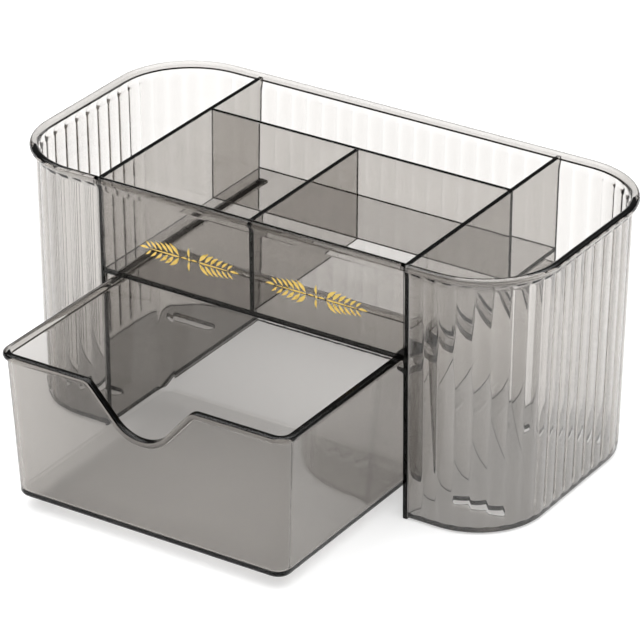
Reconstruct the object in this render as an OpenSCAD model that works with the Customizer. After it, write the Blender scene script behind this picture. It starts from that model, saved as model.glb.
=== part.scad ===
// Desktop cosmetics box of smoked clear plastic: a ribbed housing with an open tray over one sliding drawer,
// and a deep well at each end. X runs along the front, Y to the back, Z up. The origin is the centre of the
// housing's underside, on the surface that it stands on. All sizes are in millimetres.

/* [Housing] */
// Width across the rim
housing_w = 240; // [226:1:280]
// Depth across the rim
housing_d = 123; // [114:1:150]
// Height from the table to the top of the rim
housing_h = 112; // [99:1:140]
// Radius of the vertical corners, on the wall just under the rim
corner_r = 32.4; // [26:0.2:38]
// Thickness of the wall at the foot of its ribs
wall_t = 1.8; // [1.4:0.1:2.6]
// How far the walls and the front panel lean in from the rim down to the base
lean_in = 2.3; // [0:0.1:4]

/* [Rim] */
// Height of the rim's bead
rim_h = 3.2; // [2.4:0.1:5]
// How far the bead stands out from the foot of the ribs
rim_proud = 2.8; // [2.4:0.1:3.6]
// How far the wall steps out under the bead
rim_flare = 0.9; // [0:0.1:1.6]
// Rounding of the bead's two upper edges
rim_round = 0.8; // [0.4:0.1:0.8]

/* [Ribs] */
// Width of one rib along the wall
rib_pitch = 7.5; // [6:0.1:11]
// Height of a rib's crest over the grooves
rib_depth = 0.5; // [0.4:0.1:1]
// Length over which each end of a rib fades into the band or the rim
rib_fade = 3; // [1:0.1:5]
// Height of the plain band at the foot of the wall
band_h = 2.4; // [1:0.1:4]
// How far the band stands out from the foot of the ribs
band_proud = 0.2; // [0.2:0.1:1]

/* [Tray] */
// Clear width between the two side partitions, where the drawer runs
bay_w = 139.4; // [124:0.2:144]
// Thickness of the partitions
partition_t = 2.2; // [1.6:0.1:3]
// Thickness of the smooth front panel
panel_t = 2; // [1.6:0.1:3]
// Distance of the cross partition behind the housing's centre
cross_y = 20; // [0:0.5:32]
// Drop of the partitions below the top of the rim
top_drop = 0.8; // [0.8:0.1:1.2]
// Height of the shelf's upper face above the table
shelf_z = 71.5; // [58:0.5:80]
// Thickness of the shelf
shelf_t = 2; // [1.6:0.1:3]

/* [End wells] */
// Height of the well floors' undersides above the table
foot_h = 0.4; // [0.2:0.1:3]
// Thickness of the well floors
floor_t = 2; // [1.4:0.1:3]
// Width of a drain slot
slot_w = 5.5; // [4:0.1:8]
// Distance from each end of a drain slot to the partition and to the wall beside it
slot_end = 9.1; // [6:0.1:10]
// Distance of a drain slot from the housing's centre, front and back
slot_y = 35; // [12:0.5:36]

/* [Drawer] */
// How far the drawer stands out of the closed position, as drawn
drawer_open = 77.5; // [0:0.5:100]
// Height of the drawer's underside above the table
drawer_lift = 5.5; // [3:0.1:9]
// Thickness of the drawer's walls
drawer_t = 1.8; // [1.4:0.1:2.4]
// Thickness of the drawer's floor
drawer_floor_t = 2; // [1.4:0.1:3]
// How far the drawer's walls lean in from the flange down to the floor
drawer_lean = 3; // [1:0.1:4]
// Radius of the drawer's vertical corners, on the wall's outside
drawer_corner_r = 5.8; // [5:0.1:12]
// Rounding under the drawer, where its walls meet its floor
drawer_foot_r = 1.6; // [0.6:0.1:2]
// Rounding inside the drawer, where its walls meet its floor
drawer_inner_r = 1.2; // [0.4:0.1:1.6]
// How far the flange stands out from the drawer's wall
flange_proud = 1.6; // [1.4:0.1:2.2]
// Height of the flange
flange_h = 3; // [2:0.1:4]
// Rounding of the flange's two upper edges
flange_round = 0.6; // [0.2:0.1:0.7]

/* [Finger notch] */
// Width of the notch at the top of the drawer's front
notch_w = 52; // [46:1:70]
// Depth of the notch
notch_d = 19.5; // [16:0.5:28]
// Radius at the bottom of the notch
notch_r = 15; // [8:0.5:16]
// Radius of the two shoulders of the notch
shoulder_r = 5; // [2:0.5:6]

/* [Runners and clearances] */
// Clearance between the flange and each side partition
side_clear = 2.9; // [1.6:0.1:3.4]
// Clearance between the drawer's wall and each runner
runner_clear = 0.45; // [0.3:0.05:0.6]
// Clearance between the flange's underside and the runners
seat_clear = 0.2; // [0.1:0.05:0.3]
// Clearance between the flange's top and the shelf
top_clear = 1; // [0.3:0.1:1.6]
// Clearance behind the closed drawer
rear_clear = 1.6; // [0.6:0.1:4]
// Thickness of a runner at its free edge
runner_t = 1.2; // [0.8:0.1:2.4]
// Extra thickness of a runner where it joins the partition
runner_root = 1.8; // [0:0.1:4]
// Distance of a runner's front end behind the front panel's face
runner_setback = 2; // [0:0.5:10]

/* [Hidden] */
smoke = [0.60, 0.58, 0.55, 0.45];
dark_smoke = [0.42, 0.40, 0.38, 0.55];

// Straight segments in one rib, and in one corner of the drawer
rib_steps = 4;
drawer_corner_steps = 6;
// Segments of each rounding of the drawer's floor
fillet_steps = 3;
// Overshoot of a cutting solid past the face that it cuts
cut_past = 1;
// Share of the bead's height in the slope under it
rim_slope = 0.2;

// Heights where the ribs start to fade under the bead, and where the bead starts and is full
fade_z = housing_h - rim_h - rib_fade;
bead_z = housing_h - rim_h;
bead_full_z = housing_h - rim_h * (1 - rim_slope);
// Half sizes of the wall at the foot of its ribs, just under the rim
wall_hw = housing_w / 2 - rim_proud;
wall_hd = housing_d / 2 - rim_proud;
// Centres of the vertical corners
corner_x = wall_hw - corner_r;
corner_y = wall_hd - corner_r;
// Inner and outer faces of the side partitions
bay_hw = bay_w / 2;
stub_x = bay_hw + partition_t;
// Top of the partitions, and the shelf's underside
partition_top = housing_h - top_drop;
shelf_under = shelf_z - shelf_t;
// The drawer's flange top, flange underside and height
drawer_top = shelf_under - top_clear;
flange_z = drawer_top - flange_h;
drawer_h = drawer_top - drawer_lift;
// Half widths of the drawer over the flange and over the wall under it
flange_hw = bay_hw - side_clear;
drawer_hw = flange_hw - flange_proud;
// Front and back of the drawer's flange when it is closed
closed_front = -front_face(drawer_top);
closed_back = back_inner(drawer_top) - rear_clear;
// Half depth of the drawer's wall under the flange, and its centre as drawn
drawer_hd = (closed_back - closed_front) / 2 - flange_proud;
drawer_y = (closed_back + closed_front) / 2 - drawer_open;
// The runners' upper face and free edge
runner_top = flange_z - seat_clear;
runner_x = drawer_hw + runner_clear;

// How far the housing leans in at height z
function lean(z) = lean_in * (housing_h - z) / housing_h;
// Distance of the front panel's outer face from the centre plane at height z
function front_face(z) = wall_hd + rib_depth - lean(z);
// Distance of the back wall's inner face from the centre plane at height z
function back_inner(z) = wall_hd - wall_t - lean(z);
// Outline of the housing's front from z up to the bead's full width: [distance from the centre plane, height]
function front_line(z) = [
    [-front_face(z), z],
    [-front_face(fade_z), fade_z],
    [lean(bead_z) - wall_hd - rim_flare, bead_z],
    [lean(bead_full_z) - wall_hd - rim_proud, bead_full_z]
];
// Outline of the back wall's inner face, from top down to z
function back_line(z, top) = [
    [back_inner(top) + rim_flare, top],
    [back_inner(bead_z) + rim_flare, bead_z],
    [back_inner(fade_z), fade_z],
    [back_inner(z), z]
];
// Outline of the front panel's inner face, from top down to z
function panel_line(z, top) = [
    [-back_inner(top) - rim_flare, top],
    [-back_inner(bead_z) - rim_flare, bead_z],
    [panel_t - front_face(fade_z), fade_z],
    [panel_t - front_face(z), z]
];
// Whole ribs nearest to the wanted pitch on a stretch of wall
function ribs(length) = max(1, round(length / rib_pitch));

// A station on the wall's plan is [point, outward normal, crest height from 0 to 1].
function crest(i) = sin(180 * (i % rib_steps) / rib_steps);
function straight_run(from, to, normal) =
    let (steps = ribs(norm(to - from)) * rib_steps)
    [for (i = [0:steps - 1]) [from + (to - from) * i / steps, normal, crest(i)]];
function corner_run(centre, start) =
    let (steps = ribs(corner_r * PI / 2) * rib_steps)
    [for (i = [0:steps - 1]) let (a = start + 90 * i / steps) [centre, [cos(a), sin(a)], crest(i)]];
// The plan of the wall, from the right front stub around the back to the left front stub
wall_plan = concat(
    straight_run([stub_x, -corner_y], [corner_x, -corner_y], [0, -1]),
    corner_run([corner_x, -corner_y], -90),
    straight_run([corner_x, -corner_y], [corner_x, corner_y], [1, 0]),
    corner_run([corner_x, corner_y], 0),
    straight_run([corner_x, corner_y], [-corner_x, corner_y], [0, 1]),
    corner_run([-corner_x, corner_y], 90),
    straight_run([-corner_x, corner_y], [-corner_x, -corner_y], [-1, 0]),
    corner_run([-corner_x, -corner_y], 180),
    straight_run([-corner_x, -corner_y], [-stub_x, -corner_y], [0, -1]),
    [[[-stub_x, -corner_y], [0, -1], 0]]
);
// The wall's section over its band, up the outside and down the inside: [height, distance out, share of the
// ribs' depth]
wall_section = [
    [band_h, band_proud, 0],
    [band_h + rib_fade, 0, 1],
    [fade_z, 0, 1],
    [bead_z, rim_flare, 0],
    [bead_full_z, rim_proud, 0],
    [housing_h - rim_round, rim_proud, 0],
    [housing_h, rim_proud - rim_round, 0],
    [housing_h, rim_flare + rim_round - wall_t, 0],
    [housing_h - rim_round, rim_flare - wall_t, 0],
    [bead_z, rim_flare - wall_t, 0],
    [fade_z, -wall_t, 0],
    [band_h, -wall_t, 0]
];
function wall_point(station, level) =
    let (out = corner_r + level[1] + level[2] * rib_depth * station[2] - lean(level[0]))
    let (p = station[0] + station[1] * out)
    [p[0], p[1], level[0]];

// Points on the drawer's plan at one level: its corner radius grown by level[1], its corners moved in by level[2]
function corner_angles() = [for (i = [0:drawer_corner_steps]) 90 * i / drawer_corner_steps];
function tub_ring(level) =
    let (cx = drawer_hw - drawer_corner_r - level[2], cy = drawer_hd - drawer_corner_r - level[2])
    let (centres = [[cx, -cy], [cx, cy], [-cx, cy], [-cx, -cy]])
    [for (k = [0:3], a = corner_angles())
        let (t = a + 90 * k - 90)
        let (r = drawer_corner_r + level[1])
        [centres[k][0] + r * cos(t), drawer_y + centres[k][1] + r * sin(t), level[0]]];
// How far the drawer's wall leans in at height z
function tub_lean(z) = drawer_lean * (drawer_top - z) / drawer_h;
// The drawer's section, up the outside and down the inside: [height, growth of the corner radius, lean]
inner_floor_z = drawer_lift + drawer_floor_t;
tub_section = concat(
    [for (i = [0:fillet_steps]) let (a = 90 * i / fillet_steps)
        let (z = drawer_lift + drawer_foot_r * (1 - cos(a)))
        [z, drawer_foot_r * (sin(a) - 1), tub_lean(z)]],
    [
        [flange_z, 0, tub_lean(flange_z)],
        [flange_z, flange_proud, 0],
        [drawer_top - flange_round, flange_proud, 0],
        [drawer_top, flange_proud - flange_round, 0],
        [drawer_top, flange_round - drawer_t, 0],
        [drawer_top - flange_round, -drawer_t, 0]
    ],
    [for (i = [0:fillet_steps]) let (a = 90 * i / fillet_steps)
        let (z = inner_floor_z + drawer_inner_r * (1 - sin(a)))
        [z, drawer_inner_r * (cos(a) - 1) - drawer_t, tub_lean(z)]]
);

// Triangles of a skin over rings of n points, where each ring joins the next
function skin_faces(rings, n) =
    [for (k = [0:rings - 2], i = [0:n - 1])
        let (a = k * n + i, b = k * n + (i + 1) % n)
        each [[a, b, b + n], [a, b + n, a + n]]];

// The plain band that the wall stands on, flush with the wall over it
module wall_band() {
    last = len(wall_plan) - 1;
    outside = [for (i = [0:last]) wall_point(wall_plan[i], [band_h, band_proud, 0])];
    inside = [for (i = [last:-1:0]) wall_point(wall_plan[i], [band_h, -wall_t, 0])];
    linear_extrude(band_h) polygon([for (p = concat(outside, inside)) [p[0], p[1]]]);
}

module ribbed_wall() {
    n = len(wall_section);
    stations = len(wall_plan);
    points = [for (s = wall_plan, l = wall_section) wall_point(s, l)];
    start_cap = [[for (i = [n - 1:-1:0]) i]];
    end_cap = [[for (i = [0:n - 1]) (stations - 1) * n + i]];
    color(smoke) {
        wall_band();
        polyhedron(points, concat(start_cap, skin_faces(stations, n), end_cap), convexity = 10);
    }
}

module tub() {
    rings = len(tub_section);
    n = 4 * (drawer_corner_steps + 1);
    points = [for (l = tub_section) each tub_ring(l)];
    base = [[for (i = [0:n - 1]) i]];
    inside = [[for (i = [n - 1:-1:0]) (rings - 1) * n + i]];
    skin = [for (f = skin_faces(rings, n)) [f[2], f[1], f[0]]];
    polyhedron(points, concat(base, skin, inside), convexity = 10);
}

// Outline of the finger notch: a round bottom, two straight flanks and two round shoulders, all tangent
module notch_outline() {
    low = [0, drawer_top - notch_d + notch_r];
    high = [notch_w / 2, drawer_top - shoulder_r];
    gap = high - low;
    turn = atan2(gap[1], gap[0]) - acos((notch_r + shoulder_r) / norm(gap));
    steps = 8;
    flank = [for (i = [0:steps]) let (a = 90 + (90 + turn) * i / steps)
        high + shoulder_r * [cos(a), sin(a)]];
    bottom = [for (i = [0:2 * steps]) let (a = turn - (180 + 2 * turn) * i / (2 * steps))
        low + notch_r * [cos(a), sin(a)]];
    mirrored = [for (i = [steps:-1:0]) [-flank[i][0], flank[i][1]]];
    top = drawer_top + cut_past;
    polygon(concat([[notch_w / 2, top]], flank, bottom, mirrored, [[-notch_w / 2, top]]));
}

module drawer() {
    front = drawer_y - drawer_hd - flange_proud;
    cut = flange_proud + drawer_lean + drawer_t;
    color(smoke) difference() {
        tub();
        translate([0, front + cut, 0]) rotate([90, 0, 0]) linear_extrude(cut + cut_past) notch_outline();
    }
}

// A plate along X, from its outline in Y and Z
module long_plate(from, to) {
    translate([from, 0, 0]) rotate([90, 0, 90]) linear_extrude(to - from) children();
}

module front_panel() {
    shoulder = housing_h - rim_round;
    bead = [
        [lean(shoulder) - wall_hd - rim_proud, shoulder],
        [rim_round - wall_hd - rim_proud, housing_h],
        [-back_inner(housing_h) - rim_flare - rim_round, housing_h]
    ];
    outline = concat(front_line(shelf_under), bead, panel_line(shelf_under, shoulder));
    color(dark_smoke) long_plate(-bay_hw, bay_hw) polygon(outline);
}

module side_partition(side) {
    from = side > 0 ? bay_hw : -stub_x;
    front = [lean(partition_top) - wall_hd - rim_proud, partition_top];
    outline = concat(front_line(0), [front], back_line(0, partition_top));
    color(smoke) long_plate(from, from + partition_t) polygon(outline);
}

module left_partition() side_partition(-1);
module right_partition() side_partition(1);

module cross_partition() {
    color(smoke) translate([-bay_hw, cross_y - partition_t / 2, shelf_z])
        cube([bay_w, partition_t, partition_top - shelf_z]);
}

module centre_partition() {
    rear = cross_y - partition_t / 2;
    outline = concat(panel_line(shelf_z, partition_top), [[rear, shelf_z], [rear, partition_top]]);
    color(smoke) long_plate(-partition_t / 2, partition_t / 2) polygon(outline);
}

module shelf() {
    color(dark_smoke) long_plate(-bay_hw, bay_hw) polygon([
        [panel_t - front_face(shelf_under), shelf_under],
        [back_inner(shelf_under), shelf_under],
        [back_inner(shelf_z), shelf_z],
        [panel_t - front_face(shelf_z), shelf_z]
    ]);
}

// Plan of the right well inside the wall, at the underside of its floor
module well_outline() {
    r = corner_r - wall_t - lean(foot_h);
    steps = ribs(corner_r * PI / 2) * rib_steps;
    front = [for (i = [0:steps]) let (a = 90 * i / steps - 90) [corner_x + r * cos(a), r * sin(a) - corner_y]];
    back = [for (i = [0:steps]) let (a = 90 * i / steps) [corner_x + r * cos(a), r * sin(a) + corner_y]];
    polygon(concat([[stub_x, -corner_y - r]], front, back, [[stub_x, corner_y + r]]));
}

// A slot with round ends, along the well's width
module drain_slot() {
    near = stub_x + slot_end + slot_w / 2;
    far = wall_hw - wall_t - lean(foot_h) - slot_end - slot_w / 2;
    deep = floor_t + 2 * cut_past;
    for (x = [near, far]) translate([x, 0, 0]) cylinder(h = deep, d = slot_w, $fn = 32);
    translate([near, -slot_w / 2, 0]) cube([far - near, slot_w, deep]);
}

module right_floor() {
    color(smoke) difference() {
        translate([0, 0, foot_h]) linear_extrude(floor_t) well_outline();
        for (side = [-1, 1]) translate([0, side * slot_y, foot_h - cut_past]) drain_slot();
    }
}

module left_floor() mirror([1, 0, 0]) right_floor();

// A ledge on the partition's inner face that the drawer's flange slides on
module right_runner() {
    low = runner_top - runner_t - runner_root;
    front = runner_setback - front_face(low);
    rear = back_inner(low);
    color(smoke) translate([0, rear, 0]) rotate([90, 0, 0]) linear_extrude(rear - front) polygon([
        [bay_hw, low],
        [bay_hw, runner_top],
        [runner_x, runner_top],
        [runner_x, runner_top - runner_t]
    ]);
}

module left_runner() mirror([1, 0, 0]) right_runner();

ribbed_wall();
front_panel();
left_partition();
right_partition();
cross_partition();
centre_partition();
shelf();
left_floor();
right_floor();
left_runner();
right_runner();
drawer();
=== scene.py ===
"""Desktop cosmetics box of smoked clear plastic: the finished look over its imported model.

The box is a ribbed housing with an open tray over one drawer and a deep well at each end.
X runs along the front, Y to the back and Z up. Sizes in the dataclasses are in millimetres,
apart from the depths of bumps and the camera's clip, and meshes are in metres.
"""

import logging
import math
from dataclasses import dataclass, field
from enum import Enum

import bpy
import numpy as np
from mathutils import Matrix, Vector
from mathutils.geometry import tessellate_polygon

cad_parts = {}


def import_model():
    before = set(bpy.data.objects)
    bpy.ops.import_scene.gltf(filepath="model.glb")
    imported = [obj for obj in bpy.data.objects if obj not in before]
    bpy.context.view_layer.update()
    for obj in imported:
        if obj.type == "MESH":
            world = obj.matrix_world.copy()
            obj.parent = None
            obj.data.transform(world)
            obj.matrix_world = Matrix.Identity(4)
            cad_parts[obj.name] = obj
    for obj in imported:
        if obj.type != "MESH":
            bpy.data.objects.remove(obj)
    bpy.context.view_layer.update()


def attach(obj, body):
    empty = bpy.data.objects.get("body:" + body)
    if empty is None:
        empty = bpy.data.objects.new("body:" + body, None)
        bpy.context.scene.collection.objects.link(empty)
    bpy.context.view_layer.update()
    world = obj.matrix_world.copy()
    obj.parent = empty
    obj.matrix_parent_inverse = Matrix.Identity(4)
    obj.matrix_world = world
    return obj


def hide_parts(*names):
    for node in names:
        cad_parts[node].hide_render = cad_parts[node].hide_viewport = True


MM = 0.001  # metres in a millimetre
SEAT = 0.02  # how far a joined face stands in its neighbour, in millimetres
EDGE_ROUND = 0.35  # radius of a plate's rounded edges, in millimetres
BEAD_POWER = 0.35  # fullness of a round bead: 0.5 is a half circle and 0 a square
NO_TURN = 1e-3  # sine of a turn under which two edges of an outline count as one line
NO_AREA = 1e-9  # doubled area under which a triangle is left out, in square millimetres
CRISP_DEGREES = 50.0  # angle between two faces from which their edge stays crisp
FLAT_AREA = 60.0  # area from which a face is shaded flat, in square millimetres
SMOKE = (0.317, 0.277, 0.233)  # colour of the smoke in the plastic
WHITE = (1.0, 1.0, 1.0, 1.0)
log = logging.getLogger("cosmetics_box")


# ---------------------------------------------------------------------------------- sizes

def bead_reach(u: float) -> float:
    """Share of a round bead's reach at u from -1 to 1 across it: (1 - u^2)^BEAD_POWER."""
    return max(0.0, 1 - u * u) ** BEAD_POWER


def up_a_bead(start: float) -> np.ndarray:
    """Ten places across a bead, up to its top: sin a, with a from start to 90 degrees."""
    return np.sin(np.radians(np.linspace(start, 90, 10)))


def quarter_turn(steps: int) -> np.ndarray:
    """Angles from 0 to 90 degrees in equal steps, in radians."""
    return np.radians(np.linspace(0, 90, steps + 1))


@dataclass(frozen=True)
class HousingSizes:
    """Sizes of the housing, as in the part's source, in millimetres."""

    width: float = 240.0
    depth: float = 123.0
    height: float = 112.0
    corner_r: float = 32.4
    wall_t: float = 1.8
    lean_in: float = 2.3
    rim_h: float = 3.2
    rim_proud: float = 2.8
    rim_flare: float = 0.9
    rib_pitch: float = 7.5
    rib_depth: float = 0.5
    rib_fade: float = 3.0
    band_h: float = 2.4
    band_proud: float = 0.2
    bay_w: float = 139.4
    partition_t: float = 2.2
    panel_t: float = 2.0
    cross_y: float = 20.0
    top_drop: float = 0.8
    shelf_z: float = 71.5
    shelf_t: float = 2.0
    foot_h: float = 0.4
    floor_t: float = 2.0
    slot_w: float = 5.5
    slot_end: float = 9.1
    slot_y: float = 35.0

    @property
    def half_w(self) -> float:
        """Half width of the wall at the foot of its ribs."""
        return self.width / 2 - self.rim_proud

    @property
    def half_d(self) -> float:
        """Half depth of the wall at the foot of its ribs."""
        return self.depth / 2 - self.rim_proud

    @property
    def bay_hw(self) -> float:
        """Half of the clear width between the side partitions."""
        return self.bay_w / 2

    @property
    def stub_x(self) -> float:
        """Outer face of a side partition."""
        return self.bay_hw + self.partition_t

    @property
    def fade_z(self) -> float:
        """Height where the ribs start to fade under the bead."""
        return self.height - self.rim_h - self.rib_fade

    @property
    def bead_z(self) -> float:
        """Height where the bead starts."""
        return self.height - self.rim_h

    @property
    def shelf_under(self) -> float:
        """Underside of the shelf."""
        return self.shelf_z - self.shelf_t

    @property
    def partition_top(self) -> float:
        """Top of the partitions."""
        return self.height - self.top_drop

    def lean(self, z: np.ndarray | float) -> np.ndarray | float:
        """How far the housing stands in at height z: lean_in * (height - z) / height."""
        return self.lean_in * (self.height - z) / self.height

    def bead_out(self, z: float) -> float:
        """The bead's distance out at height z: flare + (proud - flare) * its reach there."""
        u = (z - self.height + self.rim_h / 2) / (self.rim_h / 2)
        return self.rim_flare + (self.rim_proud - self.rim_flare) * bead_reach(u)

    def front_face(self, z: float) -> float:
        """Distance of the front panel's outer face from the centre plane at height z."""
        return self.half_d + self.rib_depth - self.lean(z)

    def back_inner(self, z: float) -> float:
        """Distance of the back wall's inner face from the centre plane at height z."""
        return self.half_d - self.wall_t - self.lean(z)


@dataclass(frozen=True)
class DrawerSizes:
    """Sizes of the drawer and its runners, as in the part's source, in millimetres."""

    open_by: float = 77.5
    lift: float = 5.5
    wall_t: float = 1.8
    floor_t: float = 2.0
    lean_in: float = 3.0
    corner_r: float = 5.8
    foot_r: float = 1.6
    inner_r: float = 1.2
    flange_proud: float = 1.6
    flange_h: float = 3.0
    flange_round: float = 0.6
    notch_w: float = 52.0
    notch_d: float = 19.5
    notch_r: float = 15.0
    shoulder_r: float = 5.0
    side_clear: float = 2.9
    runner_clear: float = 0.45
    seat_clear: float = 0.2
    top_clear: float = 1.0
    rear_clear: float = 1.6
    runner_t: float = 1.2
    runner_root: float = 1.8
    runner_setback: float = 2.0


# ---------------------------------------------------------------------------- mesh making

def build_object(name: str, points: np.ndarray, faces: list) -> bpy.types.Object:
    """Puts points and faces into a new flat-shaded mesh object at the origin.

    Args:
        name: plain name of the piece.
        points: (n, 3) array in millimetres.
        faces: lists of point numbers, outward by the right-hand rule.

    Returns:
        The new object, linked to the scene.
    """
    mesh = bpy.data.meshes.new(name)
    mesh.from_pydata((np.asarray(points, float) * MM).tolist(), [], faces)
    mesh.validate()
    mesh.update()
    thing = bpy.data.objects.new(name, mesh)
    bpy.context.scene.collection.objects.link(thing)
    return thing


def ring_faces(rings: int, n: int, first: int = 0, flip: bool = False) -> list:
    """Quads of a skin over rings of n points, closed around each ring.

    Face (k, i) joins points i and i + 1 of ring k to the same two of ring k + 1.

    Args:
        rings: number of rings.
        n: points in a ring.
        first: number of the first point.
        flip: turns the faces the other way.

    Returns:
        A list of quads.
    """
    k, i = np.meshgrid(np.arange(rings - 1), np.arange(n), indexing="ij")
    a = first + k * n + i
    b = first + k * n + (i + 1) % n
    quads = np.stack([a, b, b + n, a + n], -1).reshape(-1, 4)
    return (quads[:, ::-1] if flip else quads).tolist()


def lofted_solid(name: str, rings: np.ndarray, flip: bool) -> bpy.types.Object:
    """A closed solid over rings of points, with a flat cap on the first and the last ring.

    Args:
        name: plain name of the piece.
        rings: (k, n, 3) array in millimetres.
        flip: whether the rings turn the other way round, so that faces point outward.

    Returns:
        The new object.
    """
    k, n = rings.shape[:2]
    faces = ring_faces(k, n, flip=flip)
    start, end = list(range(n)), list(range((k - 1) * n, k * n))
    faces += [start, end[::-1]] if flip else [start[::-1], end]
    thing = build_object(name, rings.reshape(-1, 3), faces)
    shade(thing)
    return thing


def shade(thing: bpy.types.Object) -> None:
    """Shades small faces smooth, and keeps large faces flat and sharp edges crisp.

    A large face that took its neighbours' tilt would bend what is seen through it.

    Args:
        thing: the mesh object.
    """
    mesh = thing.data
    mesh.set_sharp_from_angle(angle=math.radians(CRISP_DEGREES))
    areas = np.empty(len(mesh.polygons))
    mesh.polygons.foreach_get("area", areas)
    mesh.polygons.foreach_set("use_smooth", areas < FLAT_AREA * MM * MM)


def inset(outline: np.ndarray, by: float) -> np.ndarray:
    """Moves every edge of a closed counter-clockwise outline inward.

    With inward normals n and m of the two edges at a point, the point moves by q, where
    q . n = q . m = by.

    Args:
        outline: (n, 2) array of points.
        by: distance.

    Returns:
        The moved points, an (n, 2) array.
    """
    ahead = np.roll(outline, -1, 0) - outline
    ahead /= np.linalg.norm(ahead, axis=1, keepdims=True)
    m = np.stack([-ahead[:, 1], ahead[:, 0]], -1)
    n = np.roll(m, 1, 0)
    turn = n[:, 0] * m[:, 1] - n[:, 1] * m[:, 0]
    straight = np.abs(turn) < NO_TURN
    turn = np.where(straight, 1.0, turn)
    mitre = np.stack([m[:, 1] - n[:, 1], n[:, 0] - m[:, 0]], -1) / turn[:, None]
    return outline + by * np.where(straight[:, None], (n + m) / 2, mitre)


class Plane(Enum):
    """The plane that a plate's outline is drawn in."""

    YZ = "yz"
    XZ = "xz"
    XY = "xy"


def place(flat: np.ndarray, level: float, plane: Plane) -> np.ndarray:
    """Stands a flat outline up in space.

    Args:
        flat: (n, 2) array.
        level: distance along the third axis.
        plane: the plane of the outline.

    Returns:
        (n, 3) array.
    """
    third = np.full(len(flat), level)
    if plane is Plane.YZ:
        return np.stack([third, flat[:, 0], flat[:, 1]], -1)
    if plane is Plane.XZ:
        return np.stack([flat[:, 0], third, flat[:, 1]], -1)
    return np.stack([flat[:, 0], flat[:, 1], third], -1)


def bevelled_plate(name: str, outline: np.ndarray, low: float, high: float, plane: Plane,
                   bevel: float = EDGE_ROUND, steps: int = 5) -> bpy.types.Object:
    """A plate from its counter-clockwise outline, with the edges of both faces rounded.

    Ring j of an edge's rounding stands in by bevel * (1 - sin a) at bevel * (1 - cos a)
    from the face, with a from 0 to 90 degrees.

    Args:
        name: plain name of the piece.
        outline: (n, 2) array in the plane.
        low: the first face, along the third axis.
        high: the second face.
        plane: the plane of the outline.
        bevel: radius of the rounding, or 0 for two plain faces.
        steps: segments of the rounding.

    Returns:
        The new object.
    """
    angles = quarter_turn(steps) if bevel else [math.pi / 2]
    turns = [(bevel * (1 - math.sin(a)), bevel * (1 - math.cos(a))) for a in angles]
    levels = [(by, low + deep) for by, deep in turns]
    levels += [(by, high - deep) for by, deep in turns[::-1]]
    rings = np.array([place(inset(outline, by), at, plane) for by, at in levels])
    return lofted_solid(name, rings, flip=plane is Plane.XZ)


def arc(centre: tuple, radius: float, start: float, end: float, steps: int) -> np.ndarray:
    """Points of an arc: centre + radius * (cos a, sin a), with a from start to end in degrees."""
    a = np.radians(np.linspace(start, end, steps + 1))
    return np.stack([centre[0] + radius * np.cos(a), centre[1] + radius * np.sin(a)], -1)


# ------------------------------------------------------------------------------- finishes

def new_group(name: str, inputs: dict, outputs: tuple) -> bpy.types.NodeTree:
    """Starts a shader node group with named sockets.

    Args:
        name: the group's name.
        inputs: default value by input name, or None for a vector.
        outputs: names of the outputs, all of them values.

    Returns:
        The group, with its Group Input and Group Output nodes.
    """
    group = bpy.data.node_groups.new(name, "ShaderNodeTree")
    for label, value in inputs.items():
        kind = "NodeSocketVector" if value is None else "NodeSocketFloat"
        socket = group.interface.new_socket(label, in_out="INPUT", socket_type=kind)
        if value is not None:
            socket.default_value = value
    for label in outputs:
        group.interface.new_socket(label, in_out="OUTPUT", socket_type="NodeSocketFloat")
    group.nodes.new("NodeGroupInput").name = "in"
    group.nodes.new("NodeGroupOutput").name = "out"
    return group


def new_material(name: str) -> tuple:
    """Starts a material, and returns it with its node tree and its shader."""
    material = bpy.data.materials.new(name)
    material.use_nodes = True
    return material, material.node_tree, material.node_tree.nodes["Principled BSDF"]


def fill(node: bpy.types.Node, inputs: dict) -> bpy.types.Node:
    """Links or sets a node's inputs.

    Args:
        node: the node.
        inputs: a socket or a constant by input name.

    Returns:
        The same node.
    """
    for label, value in inputs.items():
        if isinstance(value, bpy.types.NodeSocket):
            node.id_data.links.new(value, node.inputs[label])
        else:
            node.inputs[label].default_value = value
    return node


def add_node(tree: bpy.types.NodeTree, kind: str, inputs: dict) -> bpy.types.Node:
    """Adds a shader node of a kind, such as TexNoise, with its inputs filled."""
    return fill(tree.nodes.new("ShaderNode" + kind), inputs)


def add_group(tree: bpy.types.NodeTree, group: bpy.types.NodeTree,
              inputs: dict) -> bpy.types.Node:
    """Adds a shared node group to a tree.

    Args:
        tree: the node tree.
        group: the shared group.
        inputs: a socket or a constant by input name.

    Returns:
        The group's node.
    """
    node = tree.nodes.new("ShaderNodeGroup")
    node.node_tree = group
    return fill(node, inputs)


def bumped(tree: bpy.types.NodeTree, height: bpy.types.NodeSocket, strength: float,
           distance: float) -> bpy.types.NodeSocket:
    """Adds a Bump node that reads a height, and returns its normal socket."""
    bump = add_node(tree, "Bump", {"Height": height, "Strength": strength, "Distance": distance})
    return bump.outputs["Normal"]


def math_node(tree: bpy.types.NodeTree, operation: str, a: object,
              b: object) -> bpy.types.NodeSocket:
    """Adds a Math node.

    Args:
        tree: the node tree.
        operation: the Math node's operation.
        a: a socket or a number.
        b: a socket or a number.

    Returns:
        The node's value socket.
    """
    node = tree.nodes.new("ShaderNodeMath")
    node.operation = operation
    for socket, value in zip(node.inputs, (a, b)):
        if isinstance(value, bpy.types.NodeSocket):
            tree.links.new(value, socket)
        else:
            socket.default_value = value
    return node.outputs[0]


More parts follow.
